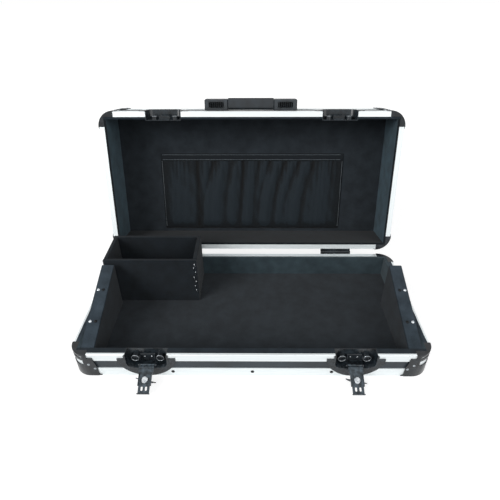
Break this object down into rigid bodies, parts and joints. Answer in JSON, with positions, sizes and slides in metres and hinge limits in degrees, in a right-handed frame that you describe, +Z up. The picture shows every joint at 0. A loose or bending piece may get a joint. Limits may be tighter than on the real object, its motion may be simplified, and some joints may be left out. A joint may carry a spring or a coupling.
{
  "type": "lighting controller flight case",
  "caption": "Shallow flight case, open: aluminium rails, black guards, felt lining, sloped cheeks, a compartment, a lid net pocket and butterfly latches.",
  "frame": {"origin": "centre of the base's underside, on the surface the case stands on", "axes": "+X to the right seen from the front, +Y from the latches towards the hinges, +Z up"},
  "size_m": [0.7036, 0.5709, 0.413],
  "materials": {
    "black_board": "black laminated board with a fine leather-like grain",
    "aluminium_rail": "satin anodised extrusion",
    "black_guard": "semi-gloss black enamel over steel",
    "grey_felt": "charcoal needled felt over thin board",
    "felt_covered_board": "charcoal felt over board",
    "nickel_steel": "bright nickel plate",
    "black_steel": "black enamelled pressed steel",
    "black_moulding": "black moulded nylon with a fine grain",
    "black_grip": "soft black grip",
    "black_net": "fine black knitted net",
    "black_elastic": "black elastic webbing"
  },
  "bodies": {
    "base": {"base_corner_guards": "black_guard", "base_corner_posts": "aluminium_rail", "base_dish_rivets": "nickel_steel", "base_felt_pad": "grey_felt", "base_floor_board": "black_board", "base_front_board": "black_board", "base_front_edge_rail": "aluminium_rail", "base_front_liner": "grey_felt", "base_front_rim_rail": "aluminium_rail", "base_hinge_leaves": "black_steel", "base_latch_dishes": "black_steel", "base_liners": "grey_felt", "base_rear_board": "black_board", "base_rear_edge_rail": "aluminium_rail", "base_rear_rim_rail": "aluminium_rail", "base_side_boards": "black_board", "base_side_edge_rails": "aluminium_rail", "base_side_rim_rails": "aluminium_rail", "cheek_bolts": "nickel_steel", "compartment_end_boards": "felt_covered_board", "compartment_front_board": "felt_covered_board", "compartment_rear_board": "felt_covered_board", "hinge_pins": "nickel_steel", "latch_hinge_pins": "nickel_steel", "left_cheek": "felt_covered_board", "right_cheek": "felt_covered_board"},
    "lid": {"handle_blocks": "black_moulding", "lid_ball_corners": "black_guard", "lid_corner_posts": "aluminium_rail", "lid_dish_rivets": "nickel_steel", "lid_felt_pad": "grey_felt", "lid_front_board": "black_board", "lid_front_edge_rail": "aluminium_rail", "lid_front_liner": "grey_felt", "lid_front_rim_rail": "aluminium_rail", "lid_hinge_leaves": "black_steel", "lid_latch_dishes": "black_steel", "lid_latch_keepers": "black_steel", "lid_liners": "grey_felt", "lid_rear_board": "black_board", "lid_rear_edge_rail": "aluminium_rail", "lid_rear_rim_rail": "aluminium_rail", "lid_rim_guards": "black_guard", "lid_side_boards": "black_board", "lid_side_edge_rails": "aluminium_rail", "lid_side_rim_rails": "aluminium_rail", "lid_top_board": "black_board", "pocket_hem": "black_elastic", "pocket_net": "black_net"},
    "handle_grip": {"handle_grip": "black_grip"},
    "left_latch_plate": {"left_latch_plate": "black_steel"},
    "left_latch_stud": {"left_latch_stud": "nickel_steel"},
    "left_latch_hook": {"left_latch_hook": "black_steel"},
    "left_latch_wing": {"left_latch_wing": "black_steel"},
    "right_latch_plate": {"right_latch_plate": "black_steel"},
    "right_latch_stud": {"right_latch_stud": "nickel_steel"},
    "right_latch_hook": {"right_latch_hook": "black_steel"},
    "right_latch_wing": {"right_latch_wing": "black_steel"}
  },
  "joints": [
    {"name": "lid_hinge", "type": "hinge", "parent": "base", "child": "lid", "pos_m": [0, 0.1755, 0.0592], "axis": [1, 0, 0], "range_deg": [0, 102.7]},
    {"name": "grip_fold", "type": "hinge", "parent": "lid", "child": "handle_grip", "pos_m": [-0.0017, 0.31227, 0.39228], "axis": [-1, 0, 0], "range_deg": [0, 90]},
    {"name": "left_latch_swing", "type": "hinge", "parent": "base", "child": "left_latch_plate", "pos_m": [-0.2015, -0.166, 0.029], "axis": [-1, 0, 0], "range_deg": [0, 117]},
    {"name": "left_latch_twist", "type": "hinge", "parent": "left_latch_plate", "child": "left_latch_stud", "pos_m": [-0.2015, -0.19184, 0.01583], "axis": [0, 0.454, -0.891], "range_deg": [-12.05, 168.05]},
    {"name": "left_hook_slide", "type": "slide", "parent": "left_latch_plate", "child": "left_latch_hook", "axis": [0, 0.891, 0.454], "range_m": [-0.00037, 0.00513]},
    {"name": "left_wing_fold", "type": "hinge", "parent": "left_latch_stud", "child": "left_latch_wing", "pos_m": [-0.2015, -0.19248, 0.01708], "axis": [-0.9781, 0.1853, 0.0944], "range_deg": [0, 90]},
    {"name": "right_latch_swing", "type": "hinge", "parent": "base", "child": "right_latch_plate", "pos_m": [0.2015, -0.166, 0.029], "axis": [-1, 0, 0], "range_deg": [0, 117]},
    {"name": "right_latch_twist", "type": "hinge", "parent": "right_latch_plate", "child": "right_latch_stud", "pos_m": [0.2015, -0.19184, 0.01583], "axis": [0, 0.454, -0.891], "range_deg": [-12.05, 168.05]},
    {"name": "right_hook_slide", "type": "slide", "parent": "right_latch_plate", "child": "right_latch_hook", "axis": [0, 0.891, 0.454], "range_m": [-0.00037, 0.00513]},
    {"name": "right_wing_fold", "type": "hinge", "parent": "right_latch_stud", "child": "right_latch_wing", "pos_m": [0.2015, -0.19248, 0.01708], "axis": [-0.9781, 0.1853, 0.0944], "range_deg": [0, 90]}
  ],
  "couplings": [
    {"joint": "left_latch_twist", "follows": "left_hook_slide", "rad_per_m": 571.2},
    {"joint": "right_latch_twist", "follows": "right_hook_slide", "rad_per_m": 571.2}
  ]
}
